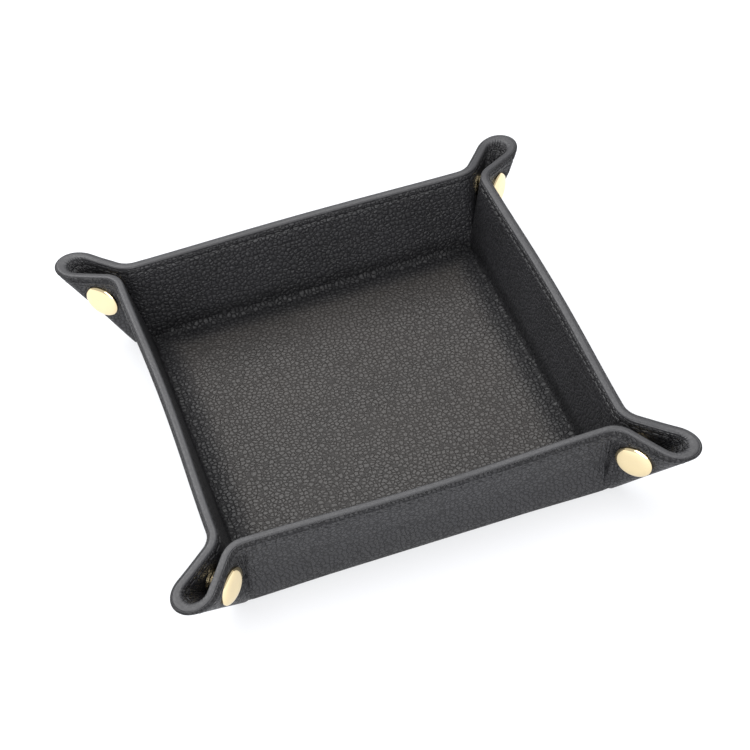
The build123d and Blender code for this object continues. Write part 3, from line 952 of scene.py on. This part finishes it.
class TRAY_OT_flaps(bpy.types.Operator):
    """Builds the eight corner flaps: the sheet's loops from a wall's end to the spout's tip"""

    bl_idname = "tray.flaps"
    bl_label = "Corner flaps"

    def execute(self, context):
        shape = Sheet(context.scene)
        snap = snap_measures(shape)
        black = material_once("black_leather", leather_material, context.scene)
        bend, straight, tip = FLAP_LOOPS
        u = np.concatenate((np.linspace(0, 1, bend)[:-1], np.linspace(1, 2, straight)[:-1],
                            np.linspace(2, shape.seam, tip)))
        for index, wall in enumerate(WALLS):
            following = WALLS[(index + 1) % 4]
            for flap, parent, mirrored in ((f"flap_{wall}_{following}", wall, False),
                                           (f"flap_{following}_{wall}", following, True)):
                loops, coats_and_painted_shade, _ = corner_loops(shape, u, index * 2.3 + 1.1 * mirrored)
                loops = press_round_snaps(shape, loops, snap)
                start = shape.apex
                end = shape.apex + np.array((0.0035, 0, 0))
                if mirrored:
                    loops, start, end = in_diagonal(loops), in_diagonal(start), in_diagonal(end)
                piece = loft(f"{flap}_leather", quarter_turn(loops, index),
                             {"edge_paint": coats_and_painted_shade[0], "dark_edge_and_painted_shade": coats_and_painted_shade[1]})
                dress(piece, black)
                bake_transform(piece)
                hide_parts(f"{flap}_outer_leather", f"{flap}_lining")
        return {"FINISHED"}


class TRAY_OT_spouts(bpy.types.Operator):
    """Builds the four spout tips: the sheet's loops from one flap round to the other"""

    bl_idname = "tray.spouts"
    bl_label = "Spout tips"

    def execute(self, context):
        shape = Sheet(context.scene)
        snap = snap_measures(shape)
        black = material_once("black_leather", leather_material, context.scene)
        half = np.linspace(shape.seam, 3, TIP_LOOPS)
        u = np.concatenate((half, -half[-2::-1]))
        for index, wall in enumerate(WALLS):
            following = WALLS[(index + 1) % 4]
            spout = f"spout_{wall}_{following}"
            loops, coats_and_painted_shade, core = corner_loops(shape, u, index * 2.3)
            near = press_round_snaps(shape, loops[:TIP_LOOPS], snap)
            far = in_diagonal(press_round_snaps(shape, in_diagonal(loops[TIP_LOOPS:]), snap))
            rim = 1 + LOW_ROWS + BORDER_ROWS
            out = core[0, rim] - core[1, rim]
            out = out / np.linalg.norm(out)
            begin = rounded_end(shape, near[0], core[0], out)
            end = rounded_end(shape, far[-1], core[-1], in_diagonal(out))
            loops = np.concatenate((begin[::-1], near, far, end))
            piece = loft(f"{spout}_leather", quarter_turn(loops, index),
                         {"edge_paint": coats_and_painted_shade[0], "dark_edge_and_painted_shade": coats_and_painted_shade[1]})
            dress(piece, black)
            start = shape.apex * np.array((1, 1, 0))
            end = start + UP * 0.003
            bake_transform(piece)
            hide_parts(f"{spout}_outer_leather", f"{spout}_lining")
        return {"FINISHED"}


def stitch_points(size):
    """One stitch along x: a rounded bar whose section is an ellipse that tapers to both ends as the
    fourth root of one less the fourth power of the place along it."""
    t = np.linspace(-1, 1, STITCH_RINGS)[:, None]
    girth = np.sqrt(np.sqrt(np.clip(1 - t ** 4, 0, 1)))
    a = np.linspace(0, 2 * math.pi, STITCH_SIDES + 1)[:-1]
    x = np.broadcast_to(t * size.length / 2, (STITCH_RINGS, STITCH_SIDES))
    y = girth * np.cos(a) * size.width / 2
    z = girth * np.sin(a) * size.width * 0.42 + (1 - t ** 2) * size.width * 0.1
    points = np.stack((x, y, z), axis=-1).reshape(-1, 3)
    faces = grid_faces(STITCH_RINGS, STITCH_SIDES, True)
    last = (STITCH_RINGS - 1) * STITCH_SIDES
    ends = [list(range(STITCH_SIDES)), list(range(last, last + STITCH_SIDES))[::-1]]
    return points, faces, ends


def sampled(at, length, values):
    """Rows of values at places along a line, from its length at each row."""
    return np.stack([np.interp(at, length, column) for column in values.T], axis=1)


def stitch_line(shape, outer):
    """Line of the stitches on one face from the middle of a wall to the diagonal plane: points, the
    surface's outward direction, and the place u along the corner, which is below 0 on the wall."""
    h = shape.height - shape.stitch.below
    depth = shape.thick - shape.stitch.groove * 0.75 if outer else shape.stitch.groove * 0.75
    x = np.linspace(0, shape.half, 400)[:-1]
    wall = np.array((0.0, -shape.half, shape.thick)) + shape.wall_up * h + shape.wall_out * depth
    straight = wall + x[:, None] * np.array((1.0, 0, 0))
    u = np.linspace(0, 3, 900)[None, :]
    offset = np.full(u.shape, depth * shape.stretch)
    s = shape.level(u, np.full(u.shape, h), offset)
    corner = shape.section(u, s, offset)[0]
    step = shape.section(u, s, offset + 1e-5)[0] - corner
    line = np.concatenate((straight, corner))
    normal = np.concatenate((np.broadcast_to(shape.wall_out, straight.shape), step))
    normal = normal / np.linalg.norm(normal, axis=1, keepdims=True) * (1 if outer else -1)
    return line, normal, np.concatenate((x / shape.half - 1.01, u[0]))


class TRAY_OT_stitches(bpy.types.Operator):
    """Builds the stitching along the rim on both faces: one stitch repeated by arc length"""

    bl_idname = "tray.stitches"
    bl_label = "Stitching"

    def execute(self, context):
        shape = Sheet(context.scene)
        snap = snap_measures(shape)
        thread = material_once("waxed_thread", thread_material, context.scene)
        points, faces, ends = stitch_points(shape.stitch)
        step = 0.0004
        parts = {}
        for outer in (True, False):
            line, normal, place = stitch_line(shape, outer)
            line = press_round_snaps(shape, line[None], snap)[0]
            length = np.concatenate(([0], np.cumsum(np.linalg.norm(np.diff(line, axis=0), axis=1))))
            count = round(length[-1] / shape.stitch.pitch)
            at = (np.arange(count) + 0.5) * length[-1] / count
            here = sampled(at, length, line)
            forward = sampled(at + step, length, line) - sampled(at - step, length, line)
            up = sampled(at, length, normal)
            where = np.interp(at, length, place)
            forward /= np.linalg.norm(forward, axis=1, keepdims=True)
            across = np.cross(up, forward)
            across /= np.linalg.norm(across, axis=1, keepdims=True)
            up = np.cross(forward, across)
            turn = np.stack((forward, across, up), axis=2)
            bars = here[:, None] + np.einsum("kij,nj->kni", turn, points)
            for kind, chosen in (("wall", where < 0), ("flap", (where >= 0) & (where < shape.seam)),
                                 ("spout", where >= shape.seam)):
                parts.setdefault(kind, []).append(bars[chosen])
        for index, wall in enumerate(WALLS):
            following = WALLS[(index + 1) % 4]
            near = {kind: np.concatenate(bars) for kind, bars in parts.items()}
            other = near["wall"] * np.array((-1, 1, 1))
            both = sway(shape, np.concatenate((near["wall"], other)), shape.sheet.sway[index])
            batches = ((f"wall_{wall}", both),
                       (f"flap_{wall}_{following}", near["flap"]),
                       (f"flap_{following}_{wall}", in_diagonal(near["flap"])),
                       (f"spout_{wall}_{following}",
                        np.concatenate((near["spout"], in_diagonal(near["spout"])))))
            for body, bars in batches:
                bars = quarter_turn(bars, index)
                firsts = np.arange(len(bars)) * len(points)
                sides = (faces[None] + firsts[:, None, None]).reshape(-1, 4).tolist()
                closed = [[n + first for n in end] for first in firsts.tolist() for end in ends]
                piece = add_piece(f"stitches_{body}", bars.reshape(-1, 3), sides + closed)
                dress(piece, thread)
                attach(piece, body)
        return {"FINISHED"}


class TRAY_OT_snaps(bpy.types.Operator):
    """Gives the snaps' metal pieces and the hidden boards their finishes"""

    bl_idname = "tray.snaps"
    bl_label = "Snap and board finishes"

    def execute(self, context):
        gold = material_once("pale_gold_plating", gold_material, context.scene)
        steel = material_once("spring_wire", steel_material)
        board = material_once("fibre_board", board_material)
        for name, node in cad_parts.items():
            if name.endswith(("_cap", "_stud", "_socket")):
                dress(node, gold)
            elif name.endswith("_spring"):
                dress(node, steel)
            elif name.endswith("_board"):
                dress(node, board)
        return {"FINISHED"}


class TRAY_OT_stage(bpy.types.Operator):
    """Builds the pale floor, the soft lamps, the room light and the camera"""

    bl_idname = "tray.stage"
    bl_label = "Stage"

    def execute(self, context):
        scene = context.scene
        stage = scene.tray_stage
        side = stage.floor_side / 2
        line = np.linspace(-side, side, 5)
        x, y = np.meshgrid(line, line, indexing="ij")
        points = np.stack((x, y, 0 * x - 0.00002), axis=-1).reshape(-1, 3)
        mesh = bpy.data.meshes.new("stage_floor")
        mesh.from_pydata(points.tolist(), [], grid_faces(5, 5, False).tolist())
        floor = bpy.data.objects.new("stage_floor", mesh)
        scene.collection.objects.link(floor)
        dress(floor, self.floor_material())
        self.lamp("lamp_overhead", (0.0, 0.35, 1.0), 1.3, stage.key_power)
        self.lamp("lamp_behind", (-0.55, 0.65, 0.55), 0.8, stage.fill_power)
        self.lamp("lamp_front", (-0.35, -1.2, 0.5), 1.3, stage.front_power)
        world = bpy.data.worlds.new("studio")
        scene.world = world
        world.use_nodes = True
        background = world.node_tree.nodes["Background"]
        background.inputs["Color"].default_value = (1, 1, 1, 1)
        background.inputs["Strength"].default_value = stage.sky
        self.camera(scene, stage)
        scene.view_settings.view_transform = "Standard"
        return {"FINISHED"}

    @staticmethod
    def floor_material():
        """Matt white: its own shade under the lamps, lifted towards white for the camera and for
        the snaps' reflections."""
        w = Wires("white_sweep")
        w.nodes.remove(w.shader)
        matt = w.add("ShaderNodeBsdfDiffuse", {"Color": (0.84, 0.86, 0.91, 1)})
        white = w.add("ShaderNodeEmission", {"Color": (1, 1, 1, 1), "Strength": 1.0})
        ray = w.add("ShaderNodeLightPath").outputs
        seen = w.maths("MAXIMUM", ray["Is Camera Ray"], ray["Is Glossy Ray"])
        seen = w.maths("MAXIMUM", seen, ray["Is Transmission Ray"])
        share = w.maths("MULTIPLY", seen, 0.6)
        mix = w.add("ShaderNodeMixShader", {0: share, 1: matt.outputs[0], 2: white.outputs[0]})
        w.put(w.nodes["Material Output"], "Surface", mix.outputs[0])
        return w.material

    @staticmethod
    def lamp(name, place, size, power):
        """Square lamp aimed at the tray."""
        data = bpy.data.lights.new(name, "AREA")
        data.size = size
        data.energy = power
        lamp = bpy.data.objects.new(name, data)
        back = np.array(place) - np.array((0, 0, 0.02))
        back /= np.linalg.norm(back)
        side = np.cross((0.0, 1.0, 0.01), back)
        side /= np.linalg.norm(side)
        turn = np.stack((side, np.cross(back, side), back), axis=1)
        lamp.matrix_world = Matrix.Translation(place) @ Matrix(turn.tolist()).to_4x4()
        bpy.context.scene.collection.objects.link(lamp)

    @staticmethod
    def camera(scene, stage):
        """Camera at its azimuth, elevation, roll and distance, stepped to its right and up."""
        a, e, r = stage.azimuth, stage.elevation, stage.roll
        back = np.array((math.sin(a) * math.cos(e), -math.cos(a) * math.cos(e), math.sin(e)))
        right = np.array((math.cos(a), math.sin(a), 0.0))
        up = np.cross(back, right)
        right, up = right * math.cos(r) + up * math.sin(r), up * math.cos(r) - right * math.sin(r)
        place = np.array(stage.aim) + back * stage.distance
        place = place + right * stage.shift[0] + up * stage.shift[1]
        data = bpy.data.cameras.new("camera")
        data.sensor_width = 36
        data.lens = stage.lens
        data.clip_start = 0.01
        camera = bpy.data.objects.new("camera", data)
        turn = np.stack((right, up, back), axis=1)
        camera.matrix_world = Matrix.Translation(place.tolist()) @ Matrix(turn.tolist()).to_4x4()
        scene.collection.objects.link(camera)
        scene.camera = camera


class TRAY_PT_panel(bpy.types.Panel):
    """Lists the tray's sizes, finishes and pieces"""

    bl_idname = "TRAY_PT_panel"
    bl_label = "Valet tray"
    bl_space_type = "VIEW_3D"
    bl_region_type = "UI"
    bl_category = "Tray"

    def draw(self, context):
        for group in GROUPS:
            box = self.layout.box()
            box.label(text=group[1].__doc__)
            for name in group[1].__annotations__:
                box.prop(getattr(context.scene, group[0]), name)
        for operator in OPERATORS:
            self.layout.operator(operator.bl_idname)


GROUPS = (
    ("tray_sheet", SheetSizes),
    ("tray_spout", SpoutSizes),
    ("tray_stitch", StitchSizes),
    ("tray_finish", Finishes),
    ("tray_stage", StageSizes),
)
OPERATORS = (
    TRAY_OT_floor,
    TRAY_OT_walls,
    TRAY_OT_flaps,
    TRAY_OT_spouts,
    TRAY_OT_stitches,
    TRAY_OT_snaps,
    TRAY_OT_stage,
)


def register():
    """Adds the properties, the operators and the panel."""
    for name, group in GROUPS:
        bpy.utils.register_class(group)
        setattr(bpy.types.Scene, name, bpy.props.PointerProperty(type=group))
    for kind in (*OPERATORS, TRAY_PT_panel):
        bpy.utils.register_class(kind)


def unregister():
    """Takes them away again."""
    for kind in (TRAY_PT_panel, *reversed(OPERATORS)):
        bpy.utils.unregister_class(kind)
    for name, group in reversed(GROUPS):
        delattr(bpy.types.Scene, name)
        bpy.utils.unregister_class(group)


def main():
    register()
    bpy.ops.tray.floor()
    bpy.ops.tray.walls()
    bpy.ops.tray.flaps()
    bpy.ops.tray.spouts()
    bpy.ops.tray.stitches()
    bpy.ops.tray.snaps()
    bpy.ops.tray.stage()


if __name__ == "__main__":
    main()
